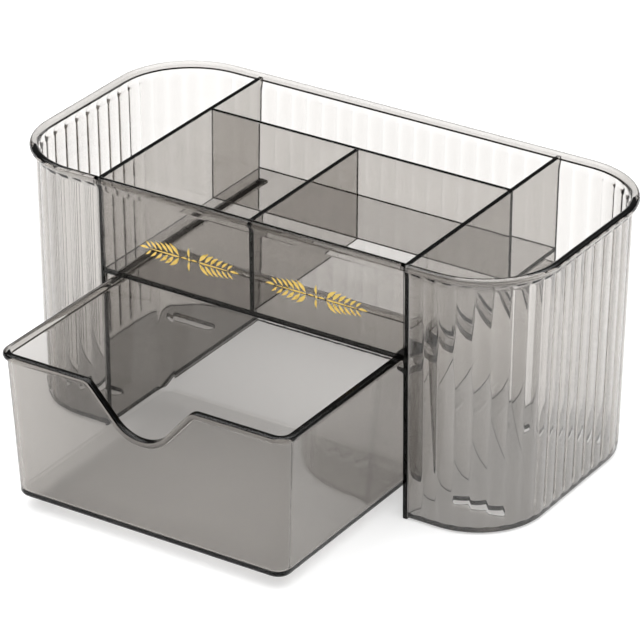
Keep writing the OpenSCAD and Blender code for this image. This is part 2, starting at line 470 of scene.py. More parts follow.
def moulding_flow_group() -> bpy.types.NodeTree:
    """Slow waves of moulded plastic as a height: a broad noise plus Fine times a fine one."""
    group = new_group("moulding_flow", {"Vector": None, "Scale": 18.0, "Fine": 0.25}, ("Height",))
    given = group.nodes["in"].outputs
    finer = 9.0
    fine_scale = math_node(group, "MULTIPLY", given["Scale"], finer)
    broad = add_node(group, "TexNoise", {"Vector": given["Vector"], "Scale": given["Scale"],
                                         "Detail": 2.0, "Roughness": 0.4})
    fine = add_node(group, "TexNoise", {"Vector": given["Vector"], "Scale": fine_scale,
                                        "Detail": 3.0})
    part = math_node(group, "MULTIPLY", fine.outputs["Fac"], given["Fine"])
    height = math_node(group, "ADD", broad.outputs["Fac"], part)
    fill(group.nodes["out"], {"Height": height})
    return group


def handling_marks_group() -> bpy.types.NodeTree:
    """Fine hairline scratches and faint smudges of a handled gloss surface, as a mask."""
    group = new_group("handling_marks", {"Vector": None, "Scratch": 0.5, "Smudge": 0.5},
                      ("Mask",))
    given = group.nodes["in"].outputs
    hairline = 0.70
    stretch = add_node(group, "Mapping", {"Vector": given["Vector"], "Rotation": (0.2, 0.5, 0.4),
                                          "Scale": (900.0, 60.0, 140.0)})
    hair = add_node(group, "TexNoise", {"Vector": stretch.outputs["Vector"], "Scale": 1.0,
                                        "Detail": 1.0})
    lines = math_node(group, "GREATER_THAN", hair.outputs["Fac"], hairline)
    smear = add_node(group, "TexNoise", {"Vector": given["Vector"], "Scale": 34.0, "Detail": 4.0})
    cloud = add_node(group, "MapRange", {"Value": smear.outputs["Fac"], "From Min": 0.52,
                                         "From Max": 0.78})
    scratches = math_node(group, "MULTIPLY", lines, given["Scratch"])
    smudges = math_node(group, "MULTIPLY", cloud.outputs["Result"], given["Smudge"])
    fill(group.nodes["out"], {"Mask": math_node(group, "ADD", scratches, smudges)})
    return group


def foil_grain_group() -> bpy.types.NodeTree:
    """The fine fleck and soft waves of hot-stamped foil, as a height and a mask."""
    group = new_group("foil_grain", {"Vector": None, "Scale": 2600.0}, ("Height", "Fleck"))
    given = group.nodes["in"].outputs
    coarser = 0.16
    wave_scale = math_node(group, "MULTIPLY", given["Scale"], coarser)
    cells = add_node(group, "TexVoronoi", {"Vector": given["Vector"], "Scale": given["Scale"]})
    wave = add_node(group, "TexNoise", {"Vector": given["Vector"], "Scale": wave_scale,
                                        "Detail": 3.0})
    height = math_node(group, "ADD", cells.outputs["Distance"], wave.outputs["Fac"])
    fill(group.nodes["out"], {"Height": height, "Fleck": wave.outputs["Fac"]})
    return group


@dataclass(frozen=True)
class FinishLibrary:
    """The node groups that the finishes share, built once."""

    flow: bpy.types.NodeTree = field(default_factory=moulding_flow_group)
    marks: bpy.types.NodeTree = field(default_factory=handling_marks_group)
    foil: bpy.types.NodeTree = field(default_factory=foil_grain_group)


@dataclass(frozen=True)
class SmokedPlastic:
    """Clear gloss plastic with a warm grey smoke through its thickness.

    The smoke absorbs density * (1 - tint) of the light for each metre of plastic.
    """

    name: str
    density: float
    tint: tuple = SMOKE
    gloss: float = 0.004
    smear: float = 0.05
    scratch: float = 0.35
    smudge: float = 1.0
    ripple: float = 0.04
    ripple_scale: float = 26.0
    ripple_depth: float = 0.002
    ior: float = 1.49
    shine: float = 0.35
    slot: str = ""

    def make(self, shared: FinishLibrary) -> bpy.types.Material:
        """Builds the material.

        Args:
            shared: the shared node groups.

        Returns:
            The finished material.
        """
        material, tree, shader = new_material(self.name)
        smoke = add_node(tree, "VolumeAbsorption", {"Color": (*self.tint, 1.0),
                                                    "Density": self.density})
        fill(tree.nodes["Material Output"], {"Volume": smoke.outputs["Volume"]})
        where = tree.nodes.new("ShaderNodeTexCoord").outputs["Object"]
        flow = add_group(tree, shared.flow, {"Vector": where, "Scale": self.ripple_scale})
        marks = add_group(tree, shared.marks, {"Vector": where, "Scratch": self.scratch,
                                               "Smudge": self.smudge})
        rough = math_node(tree, "MULTIPLY", marks.outputs["Mask"], self.smear)
        fill(shader, {
            "Base Color": WHITE,
            "Transmission Weight": 1.0,
            "Metallic": 0.0,
            "IOR": self.ior,
            "Specular Tint": (*[self.shine] * 3, 1.0),
            "Roughness": math_node(tree, "ADD", rough, self.gloss),
            "Normal": bumped(tree, flow.outputs["Height"], self.ripple, self.ripple_depth),
        })
        return material


@dataclass(frozen=True)
class StampedFoil:
    """Gold hot-stamped foil: a soft metal shine with a fine fleck."""

    name: str = "gold_foil"
    slot: str = "gold_foil"
    bright: tuple = (0.96, 0.74, 0.24)
    deep: tuple = (0.74, 0.50, 0.10)
    metal: float = 0.85
    gloss: float = 0.12
    fleck: float = 0.4
    grain: float = 0.25
    grain_depth: float = 0.0002

    def make(self, shared: FinishLibrary) -> bpy.types.Material:
        """Builds the material.

        Args:
            shared: the shared node groups.

        Returns:
            The finished material.
        """
        material, tree, shader = new_material(self.name)
        where = tree.nodes.new("ShaderNodeTexCoord").outputs["Object"]
        grain = add_group(tree, shared.foil, {"Vector": where})
        colour = tree.nodes.new("ShaderNodeMix")
        colour.data_type = "RGBA"
        fill(colour, {"A": (*self.deep, 1.0), "B": (*self.bright, 1.0),
                      "Factor": grain.outputs["Fleck"]})
        rough = math_node(tree, "MULTIPLY", grain.outputs["Fleck"], self.fleck)
        fill(shader, {
            "Metallic": self.metal,
            "Base Color": colour.outputs["Result"],
            "Roughness": math_node(tree, "ADD", rough, self.gloss),
            "Normal": bumped(tree, grain.outputs["Height"], self.grain, self.grain_depth),
        })
        return material


class Finish(Enum):
    """The finishes of the box."""

    WALL = SmokedPlastic("smoked_wall", 235.0, ripple=0.02, shine=1.0)
    PANEL = SmokedPlastic("smoked_panel", 300.0, ripple=0.012)
    SHELF = SmokedPlastic("smoked_shelf", 75.0, ripple=0.012, slot="smoked_panel")
    DRAWER = SmokedPlastic("smoked_drawer", 310.0, ripple=0.015, shine=0.45)
    FOIL = StampedFoil()


class Wardrobe:
    """Makes each finish once and puts it on pieces."""

    def __init__(self) -> None:
        """Builds the finishes."""
        shared = FinishLibrary()
        self.made = {finish: finish.value.make(shared) for finish in Finish}

    def dress(self, thing: bpy.types.Object, finish: Finish, body: str, nodes: tuple = ()) -> None:
        """Gives a piece its finish, its body and the CAD nodes that it stands for.

        Args:
            thing: the piece.
            finish: its finish.
            body: the body that it rides on.
            nodes: the CAD nodes that it replaces.
        """
        thing.data.materials.clear()
        thing.data.materials.append(self.made[finish])
        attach(thing, body)
        if nodes:
            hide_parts(*nodes)
        log.info("%s: %d faces", thing.name, len(thing.data.polygons))


# --------------------------------------------------------------------------- ribbed wall

def smoothstep(t: np.ndarray) -> np.ndarray:
    """Smooth rise from 0 to 1: 3 t^2 - 2 t^3."""
    return t * t * (3 - 2 * t)


@dataclass
class RibbedWall:
    """The ribbed wall with its bead: ends, back, corners and two front stubs in one piece.

    Round the bead, the outside starts at bead_foot degrees and the inside at bead_inside.
    """

    size: HousingSizes = field(default_factory=HousingSizes)
    rib_steps: int = 12
    fade_rows: int = 10
    outer_rows: int = 7
    inner_rows: int = 6
    foot_round: float = 1.6
    bead_foot: float = -80.0
    bead_inside: float = 78.0
    bead_rows_inside: int = 7

    def runs(self) -> list:
        """The wall's plan as lines and turns, from the right front stub round to the left one.

        Returns:
            Each run's start, end, first angle and last angle in degrees. A turn starts and
            ends at its centre.
        """
        s = self.size
        cx, cy = s.half_w - s.corner_r, s.half_d - s.corner_r
        stub = s.stub_x - SEAT
        corners = [(cx, -cy), (cx, cy), (-cx, cy), (-cx, -cy)]
        runs = [((stub, -cy), corners[0], -90, -90)]
        for number, (corner, end) in enumerate(zip(corners, corners[1:] + [(-stub, -cy)])):
            angle = 90 * number
            runs += [(corner, corner, angle - 90, angle), (corner, end, angle, angle)]
        return runs

    def stations(self) -> tuple:
        """Stations along the wall's plan.

        Each run is cut into a whole number of ribs. With u from 0 to 1 across a rib, its
        crest is 4 u (1 - u), and a station's point is its corner's centre or the line
        between two.

        Returns:
            Points (n, 2), outward normals (n, 2) and crests (n,).
        """
        s = self.size
        quarter = s.corner_r * math.pi / 2
        runs = self.runs()
        points, normals, crests = [], [], []
        for number, (start, end, from_deg, to_deg) in enumerate(runs):
            length = math.dist(start, end) or quarter
            steps = max(1, round(length / s.rib_pitch)) * self.rib_steps
            last = number == len(runs) - 1
            t = np.linspace(0, 1, steps + 1)[: steps + (1 if last else 0)]
            angle = np.radians(from_deg + (to_deg - from_deg) * t)
            points.append(np.outer(1 - t, start) + np.outer(t, end))
            normals.append(np.stack([np.cos(angle), np.sin(angle)], -1))
            u = np.arange(len(t)) % self.rib_steps / self.rib_steps
            crests.append(4 * u * (1 - u))
        return np.vstack(points), np.vstack(normals), np.concatenate(crests)

    def section(self) -> np.ndarray:
        """The wall's closed section, up the outside and down the inside.

        Returns:
            Rows of height, distance out, and how far the ribs are formed, from 0 to 1.
        """
        s, foot = self.size, self.foot_round
        rib_foot = s.band_h + s.rib_fade
        t = np.linspace(0, 1, self.fade_rows)
        up = smoothstep(t)
        rows = [[foot * (1 - math.cos(a)), s.band_proud - foot * (1 - math.sin(a)), 0]
                for a in quarter_turn(4)]
        rows += [[s.band_h + s.rib_fade * a, s.band_proud * (1 - b), a] for a, b in zip(t, up)]
        rows += [[z, 0, 1] for z in np.linspace(rib_foot, s.fade_z, self.outer_rows)[1:-1]]
        rows += [[s.fade_z + s.rib_fade * a, s.rim_flare * b, 1 - a] for a, b in zip(t, up)]
        rows += self.bead_rows()
        rows += [[s.bead_z - s.rib_fade * a, s.rim_flare * (1 - b) - s.wall_t, 0]
                 for a, b in zip(t[1:], up[1:])]
        rows += [[z, -s.wall_t, 0] for z in np.linspace(s.fade_z, 0.0, self.inner_rows)[1:]]
        return np.array(rows, float)

    def bead_heights(self) -> np.ndarray:
        """Heights up the outside of the bead: its middle + half its height * sin a."""
        half = self.size.rim_h / 2
        return self.size.height - half + half * up_a_bead(self.bead_foot)

    def bead_rows(self) -> list:
        """The bead's section: round its outside, over its top, and down inside.

        Returns:
            Rows of height, distance out and a zero share of the ribs.
        """
        s = self.size
        half = s.rim_h / 2
        inner = s.rim_flare - s.wall_t
        rows = [[z, s.bead_out(z), 0] for z in self.bead_heights()]
        rows += [[s.height - half * (1 - math.sin(a)), inner + s.wall_t * (1 - math.cos(a)), 0]
                 for a in np.radians(np.linspace(self.bead_inside, 0, self.bead_rows_inside))]
        return rows + [[s.bead_z, inner, 0]]

    def surface(self) -> np.ndarray:
        """Every point of the wall: p + n * (R + out + h - lean(z)).

        The rib's height h is depth * max(0, crest - (1 - formed)^2), so that each rib ends
        in a round arch.

        Returns:
            (stations, section, 3) array in millimetres.
        """
        s = self.size
        points, normals, crests = self.stations()
        rows = self.section()
        z, out, formed = rows.T
        rib = s.rib_depth * np.maximum(0, crests[:, None] - (1 - formed) ** 2)
        reach = s.corner_r + out - s.lean(z) + rib
        plan = points[:, None] + normals[:, None] * reach[..., None]
        return np.concatenate([plan, np.broadcast_to(z[None, :, None], reach.shape + (1,))], -1)

    def build(self) -> bpy.types.Object:
        """Builds the wall's mesh."""
        return lofted_solid("ribbed_wall_shell", self.surface(), flip=True)


# ------------------------------------------------------------------------ tray and bay

@dataclass
class Tray:
    """The front panel, the partitions and the shelf.

    Moulded joints run the depth of the seat into their neighbour, so that the plastic is
    one clear mass there. The partitions' edges are rounded, and the shelf's and those at
    the panel's ends are plain. A row of points panel_hold from each turn keeps the panel's
    large faces flat, and least_step is the least rise from the bead to the partition's top.
    """

    size: HousingSizes = field(default_factory=HousingSizes)
    panel_edge: float = 0.4
    panel_hold: float = 0.1
    partition_edge: float = 0.3
    least_step: float = 0.1

    def front_line(self, z: float) -> list:
        """Outer face of the front from z up to the bead's foot.

        Args:
            z: lowest height.

        Returns:
            Pairs of distance from the centre plane and height.
        """
        s = self.size
        return [[-s.front_face(z), z], [-s.front_face(s.fade_z), s.fade_z],
                [s.lean(s.bead_z) - s.half_d - s.rim_flare, s.bead_z]]

    def back_line(self, z: float, top: float) -> list:
        """The back wall's inner face, from top down to z, with the seat in the wall.

        Args:
            z: lowest height.
            top: highest height.

        Returns:
            Pairs of distance from the centre plane and height.
        """
        s = self.size
        line = [[s.back_inner(at) + s.rim_flare, at] for at in (top, s.bead_z)]
        line += [[s.back_inner(at), at] for at in (s.fade_z, z)]
        return [[y + SEAT, at] for y, at in line]

    def panel_line(self, z: float, top: float) -> list:
        """Inner face of the front panel, from top down to z.

        Args:
            z: lowest height.
            top: highest height.

        Returns:
            Pairs of distance from the centre plane and height.
        """
        s = self.size
        line = [[-s.back_inner(at) - s.rim_flare, at] for at in (top, s.bead_z)]
        return line + [[s.panel_t - s.front_face(at), at] for at in (s.fade_z, z)]

    def front_panel(self) -> bpy.types.Object:
        """The smooth panel with the bead along its top and a rounded lower edge.

        Returns:
            The panel.
        """
        s, edge, hold = self.size, self.panel_edge, self.panel_hold
        under = s.shelf_under
        bead = [[s.lean(z) - s.half_d - out, z] for z, out, _ in RibbedWall(s).bead_rows()]
        foot = arc((edge - s.front_face(under), under + edge), edge, 270, 180, 6).tolist()
        face = [[-s.front_face(z), z] for z in (under + edge + hold, s.fade_z - hold)]
        inner = self.panel_line(under, s.bead_z)[2:]
        inner.insert(1, [s.panel_t - s.front_face(s.fade_z - hold), s.fade_z - hold])
        outline = np.array(foot + face + self.front_line(under)[1:3] + bead + inner)[::-1]
        half = s.bay_hw + SEAT
        return bevelled_plate("front_panel_plate", outline, -half, half, Plane.YZ, bevel=0.0)

    def side_partition(self, side: int) -> bpy.types.Object:
        """A side partition, from the front edge to the back wall.

        Args:
            side: 1 for the right one and -1 for the left one.

        Returns:
            The partition.
        """
        s = self.size
        top = s.partition_top
        heights = [z for z in RibbedWall(s).bead_heights() if z < top - self.least_step]
        bead = [[s.lean(z) - s.half_d - s.bead_out(z), z] for z in heights + [top]]
        front = self.front_line(0.0) + bead
        outline = np.array(front + self.back_line(0.0, top))[::-1]
        low, high = sorted((side * s.bay_hw, side * s.stub_x))
        name = "right_partition_plate" if side > 0 else "left_partition_plate"
        return bevelled_plate(name, outline, low, high, Plane.YZ, bevel=self.partition_edge)

    def cross_partition(self) -> bpy.types.Object:
        """The cross partition behind the middle, from one side partition to the other."""
        s = self.size
        half, mid = s.bay_hw + SEAT, s.partition_t / 2
        low, top = s.shelf_z - SEAT, s.partition_top
        outline = np.array([[-half, low], [half, low], [half, top], [-half, top]])
        return bevelled_plate("cross_partition_plate", outline, s.cross_y - mid, s.cross_y + mid,
                              Plane.XZ)

    def centre_partition(self) -> bpy.types.Object:
        """The centre partition, from the panel back to the cross partition."""
        s = self.size
        half = s.partition_t / 2
        rear = s.cross_y - half + SEAT
        low, top = s.shelf_z - SEAT, s.partition_top
        line = [[y - SEAT, z] for y, z in self.panel_line(low, top)]
        outline = np.array(line + [[rear, low], [rear, top]])
        return bevelled_plate("centre_partition_plate", outline, -half, half, Plane.YZ)

    def shelf(self) -> bpy.types.Object:
        """The shelf that is the tray's floor, joined all round."""
        s = self.size
        under, top = s.shelf_under, s.shelf_z
        front = [[s.panel_t - s.front_face(z) - SEAT, z] for z in (top, under)]
        back = [[s.back_inner(z) + SEAT, z] for z in (under, top)]
        half = s.bay_hw + SEAT
        return bevelled_plate("shelf_plate", np.array(front[1:] + back + front[:1]), -half, half,
                              Plane.YZ, bevel=0.0)

    def build(self, wardrobe: Wardrobe) -> None:
        """Builds and dresses the tray's pieces."""
        upright = {
            "front_panel": self.front_panel(),
            "left_partition": self.side_partition(-1),
            "right_partition": self.side_partition(1),
            "cross_partition": self.cross_partition(),
            "centre_partition": self.centre_partition(),
        }
        for node, plate in upright.items():
            wardrobe.dress(plate, Finish.PANEL, "housing", (node,))
        wardrobe.dress(self.shelf(), Finish.SHELF, "housing", ("shelf",))


@dataclass
class Wells:
    """The floors of the two end wells, each with two drain slots."""

    size: HousingSizes = field(default_factory=HousingSizes)
    corner_steps: int = 84
    slot_steps: int = 16

    def outline(self) -> np.ndarray:
        """Plan of the right floor, counter-clockwise: the partition, then two corner arcs."""
        s = self.size
        r = s.corner_r - s.wall_t - s.lean(s.foot_h + s.floor_t) + SEAT
        cx, cy = s.half_w - s.corner_r, s.half_d - s.corner_r
        front = arc((cx, -cy), r, -90, 0, self.corner_steps)
        near = s.stub_x - SEAT
        return np.vstack([[near, -cy - r], front, front[::-1] * (1, -1), [near, cy + r]])

    def slot_outline(self, side: int) -> np.ndarray:
        """Outline of a drain slot with round ends, clockwise.

        Args:
            side: 1 for the back slot and -1 for the front one.

        Returns:
            (n, 2) array.
        """
        s = self.size
        r = s.slot_w / 2
        near = s.stub_x + s.slot_end + r
        far = s.half_w - s.wall_t - s.lean(s.foot_h) - s.slot_end - r
        at = side * s.slot_y
        return np.vstack([arc((far, at), r, -90, 90, self.slot_steps),
                          arc((near, at), r, 90, 270, self.slot_steps)])[::-1]

    @staticmethod
    def cap(points: np.ndarray, loops: list, upward: bool) -> list:
        """Fills the flat face between an outline and its holes.

        Args:
            points: (n, 3) array of all points.
            loops: lists of point numbers, the outline's first.
            upward: whether the face looks up.

        Returns:
            A list of triangles.
        """
        flat = [i for loop in loops for i in loop]
        faces = []
        for triangle in tessellate_polygon([[Vector(points[i]) for i in loop] for loop in loops]):
            corners = [flat[i] for i in triangle]
            a, b, c = (points[i][:2] for i in corners)
            area = (b[0] - a[0]) * (c[1] - a[1]) - (b[1] - a[1]) * (c[0] - a[0])
            if abs(area) >= NO_AREA:
                faces.append(corners if (area > 0) == upward else corners[::-1])
        return faces

    def floor(self, side: int) -> bpy.types.Object:
        """A well's floor, its faces filled around the slots and the slots' edges eased.

        Args:
            side: 1 for the right floor and -1 for the left one.

        Returns:
            The floor.
        """
        s, ease = self.size, EDGE_ROUND
        low, top = s.foot_h, s.foot_h + s.floor_t
        levels = [(ease, low), (0.0, low + ease), (0.0, top - ease), (ease, top)]
        rings, faces, under, over, first = [], [], [], [], 0
        for loop in (self.outline(), self.slot_outline(-1), self.slot_outline(1)):
            n, last = len(loop), first + (len(levels) - 1) * len(loop)
            slot = bool(rings)
            rings += [place(inset(loop, by * slot), at, Plane.XY) for by, at in levels]
            faces += ring_faces(len(levels), n, first)
            under.append(list(range(first, first + n)))
            over.append(list(range(last, last + n)))
            first = last + n
        points = np.vstack(rings)
        faces += self.cap(points, under, upward=False) + self.cap(points, over, upward=True)
        if side < 0:
            points = points * (-1, 1, 1)
            faces = [face[::-1] for face in faces]
        return build_object("right_floor_plate" if side > 0 else "left_floor_plate", points, faces)

    def build(self, wardrobe: Wardrobe) -> None:
        """Builds and dresses both floors."""
        wardrobe.dress(self.floor(-1), Finish.WALL, "housing", ("left_floor",))
        wardrobe.dress(self.floor(1), Finish.WALL, "housing", ("right_floor",))


# --------------------------------------------------------------------------------- drawer

@dataclass
class Drawer:
    """The drawer: one tub whose flange follows the finger notch, and its two runners.

    Points beside each turn keep the flat walls flat: hold is their distance from it, and
    hold_share their share of the height. The caps' rims stand cap_in inside their edges.
    """

    size: DrawerSizes = field(default_factory=DrawerSizes)
    house: HousingSizes = field(default_factory=HousingSizes)
    corner_steps: int = 12
    bottom_points: int = 22
    shoulder_points: int = 12
    flank_points: int = 6
    beside_points: int = 8
    wall_rows: int = 11
    round_steps: int = 5
    flange_foot: float = -82.0
    cap_in: float = 1.0
    runner_edge: float = 0.2
    hold: float = 0.15
    hold_share: float = 0.004

    def __post_init__(self) -> None:
        """Works out the sizes that follow from the housing."""
        s, h = self.size, self.house
        self.top = h.shelf_under - s.top_clear
        self.flange_hw = h.bay_hw - s.side_clear
        self.half_w = self.flange_hw - s.flange_proud
        closed_front, closed_back = -h.front_face(self.top), h.back_inner(self.top) - s.rear_clear
        self.half_d = (closed_back - closed_front) / 2 - s.flange_proud
        self.mid_y = (closed_back + closed_front) / 2 - s.open_by

    def lean(self, z: np.ndarray) -> np.ndarray:
        """How far the wall stands in at height z: lean_in * (top - z) / height of the tub."""
        s = self.size
        return s.lean_in * (self.top - z) / (self.top - s.lift)

    def notch_line(self) -> tuple:
        """The notch's edge from left to right: shoulder arc, flank, bottom arc, flank, shoulder.

        All arcs are tangent. With the bottom's centre low, the shoulder's centre high and
        g = high - low, the flank's normal stands at atan2(g) - acos((r + R) / |g|).

        Returns:
            Points (n, 2) as x and z, and unit vectors (n, 2) into the plastic.
        """
        s = self.size
        low = np.array([0.0, self.top - s.notch_d + s.notch_r])
        high = np.array([s.notch_w / 2, self.top - s.shoulder_r])
        g = high - low
        turn = math.atan2(g[1], g[0]) - math.acos((s.notch_r + s.shoulder_r) / np.linalg.norm(g))
        bottom = np.linspace(-math.pi / 2, turn, self.bottom_points)
        outward = np.stack([np.cos(bottom), np.sin(bottom)], -1)
        floor = low + s.notch_r * outward
        shoulder = np.linspace(math.pi + turn, math.pi / 2, self.shoulder_points)
        ray = np.stack([np.cos(shoulder), np.sin(shoulder)], -1)
        bend = high + s.shoulder_r * ray
        t = np.linspace(0, 1, self.flank_points)[1:-1, None]
        flank = floor[-1] * (1 - t) + bend[0] * t
        right = np.vstack([floor, flank, bend])
        inward = np.vstack([outward, np.repeat(outward[-1:], len(flank), 0), -ray])
        left, left_in = right[:0:-1] * (-1, 1), inward[:0:-1] * (-1, 1)
        return np.vstack([left, right]), np.vstack([left_in, inward])

    def stations(self) -> dict:
        """Stations round the tub, counter-clockwise from the front left corner's end.

        Returns:
            Arrays: spine (n, 2), normal (n, 2), top height (n,) and the edge's direction
            into the plastic (n, 2) as along the wall and up.
        """
        s = self.size
        cx, cy = self.half_w - s.corner_r, self.half_d - s.corner_r
        corners = [(cx, -cy), (cx, cy), (-cx, cy), (-cx, -cy)]
        edge, into = self.notch_line()
        between = np.linspace(-cx, edge[0, 0], self.beside_points)[1:-1]
        side = np.concatenate([[-cx, self.hold - cx], between])
        front_x = np.concatenate([side, edge[:, 0], -side[::-1]])
        spine = [np.stack([front_x, np.full(len(front_x), -cy)], -1)]
        normal = [np.tile([0.0, -1.0], (len(front_x), 1))]
        for number, corner in enumerate(corners):
            a = np.radians(np.linspace(-90, 0, self.corner_steps + 1)[1:] + 90 * number)
            last = corner is corners[-1]
            a = a[:-1] if last else a
            spine.append(np.tile(corner, (len(a), 1)))
            normal.append(np.stack([np.cos(a), np.sin(a)], -1))
            if not last:
                end = corners[number + 1]
                share = self.hold / math.dist(corner, end)
                t = np.array([share, 0.25, 0.5, 0.75, 1 - share, 1.0])[:, None]
                spine.append(np.array(corner) * (1 - t) + np.array(end) * t)
                normal.append(np.tile(normal[-1][-1], (len(t), 1)))
        beside, rest = len(side), sum(len(block) for block in spine[1:])
        tops = [np.full(beside, self.top), edge[:, 1], np.full(beside + rest, self.top)]
        down = np.array([[0.0, -1.0]])
        dirs = [down.repeat(beside, 0), into, down.repeat(beside + rest, 0)]
        return {"spine": np.vstack(spine), "normal": np.vstack(normal),
                "top": np.concatenate(tops), "into": np.vstack(dirs)}

    def flange_rows(self) -> list:
        """The flange's section, up round its outside, over its top and down inside.

        Returns:
            Pairs of depth under the edge and distance out.
        """
        s, r = self.size, self.size.flange_round
        rows = [(s.flange_h / 2 * (1 - u), s.flange_proud * bead_reach(u))
                for u in up_a_bead(self.flange_foot)]
        rows += [(r * (1 - math.sin(a)), r * (1 - math.cos(a)) - s.wall_t)
                 for a in quarter_turn(4)[::-1]]
        return rows + [(s.flange_h, -s.wall_t)]

    def surface(self) -> np.ndarray:
        """Every level of the tub, from the foot up the outside, over the flange and down inside.

        A point at height z, grown by out, is spine * (c - lean) / c + normal * (r + out). In
        the flange's rows the height is the edge's own plus its depth along the edge's
        direction into the plastic, so that the flange follows the notch.

        Returns:
            (levels, stations, 3) array in millimetres.
        """
        s = self.size
        st = self.stations()
        centre = np.array([self.half_w - s.corner_r, self.half_d - s.corner_r])
        tangent = np.stack([-st["normal"][:, 1], st["normal"][:, 0]], -1)
        levels = []

        def level(z: np.ndarray | float, out: float, along: np.ndarray | float = 0.0) -> None:
            """Adds one level at heights z, grown by out and moved along the wall."""
            z = np.broadcast_to(z, len(tangent))
            scale = (centre[None] - self.lean(z)[:, None]) / centre[None]
            plan = st["spine"] * scale + st["normal"] * (s.corner_r + out)
            plan = plan + tangent * np.reshape(along, (-1, 1))
            levels.append(np.column_stack([plan[:, 0], plan[:, 1] + self.mid_y, z]))

        def depth(a: float) -> tuple:
            """Heights and moves along the wall at depth a under the edge."""
            return st["top"] + a * st["into"][:, 1], a * st["into"][:, 0]

        foot, floor_z = s.lift + s.foot_r, s.lift + s.floor_t
        inner_foot = floor_z + s.inner_r
        turns = [(math.sin(a), math.cos(a)) for a in quarter_turn(self.round_steps)]
        under, slide = depth(s.flange_h)
        near = self.hold_share
        between = np.linspace(0, 1, self.wall_rows)[1:-1]
        rise = np.concatenate([[near], between, [1 - near, 1.0]])
        level(s.lift, -s.foot_r - self.cap_in)
        for sine, cosine in turns:
            level(s.lift + s.foot_r * (1 - cosine), s.foot_r * (sine - 1))
        for t in rise:
            level(foot + (under - foot) * t, 0.0, slide)
        for a, out in self.flange_rows():
            z, along = depth(a)
            level(z, out, along)
        for t in np.append(rise[-2::-1], 0.0):
            level(inner_foot + (under - inner_foot) * t, -s.wall_t, slide)
        for sine, cosine in turns[1:]:
            level(floor_z + s.inner_r * (1 - sine), s.inner_r * (cosine - 1) - s.wall_t)
        level(floor_z, -s.inner_r - s.wall_t - self.cap_in)
        return np.array(levels)

    def tub(self) -> bpy.types.Object:
        """The tub's solid."""
        return lofted_solid("drawer_tub", self.surface(), flip=False)

    def runner(self, side: int) -> bpy.types.Object:
        """A ledge on the bay's wall, under the drawer's flange.

        Args:
            side: 1 for the right one and -1 for the left one.

        Returns:
            The runner.
        """
        s, h = self.size, self.house
        top = self.top - s.flange_h - s.seat_clear
        low = top - s.runner_t - s.runner_root
        edge, wall = self.half_w + s.runner_clear, h.bay_hw + SEAT
        section = np.array([[wall, low], [wall, top], [edge, top], [edge, top - s.runner_t]])
        outline = section * (side, 1)
        outline = outline[::-1] if side < 0 else outline
        front, rear = s.runner_setback - h.front_face(low), h.back_inner(low) + SEAT
        name = "right_runner_ledge" if side > 0 else "left_runner_ledge"
        return bevelled_plate(name, outline, front, rear, Plane.XZ, self.runner_edge, steps=2)

    def build(self, wardrobe: Wardrobe) -> None:
        """Builds and dresses the drawer and its runners."""
        wardrobe.dress(self.tub(), Finish.DRAWER, "drawer", ("drawer",))
        wardrobe.dress(self.runner(-1), Finish.WALL, "housing", ("left_runner",))
        wardrobe.dress(self.runner(1), Finish.WALL, "housing", ("right_runner",))


# ------------------------------------------------------------------------------- ornament

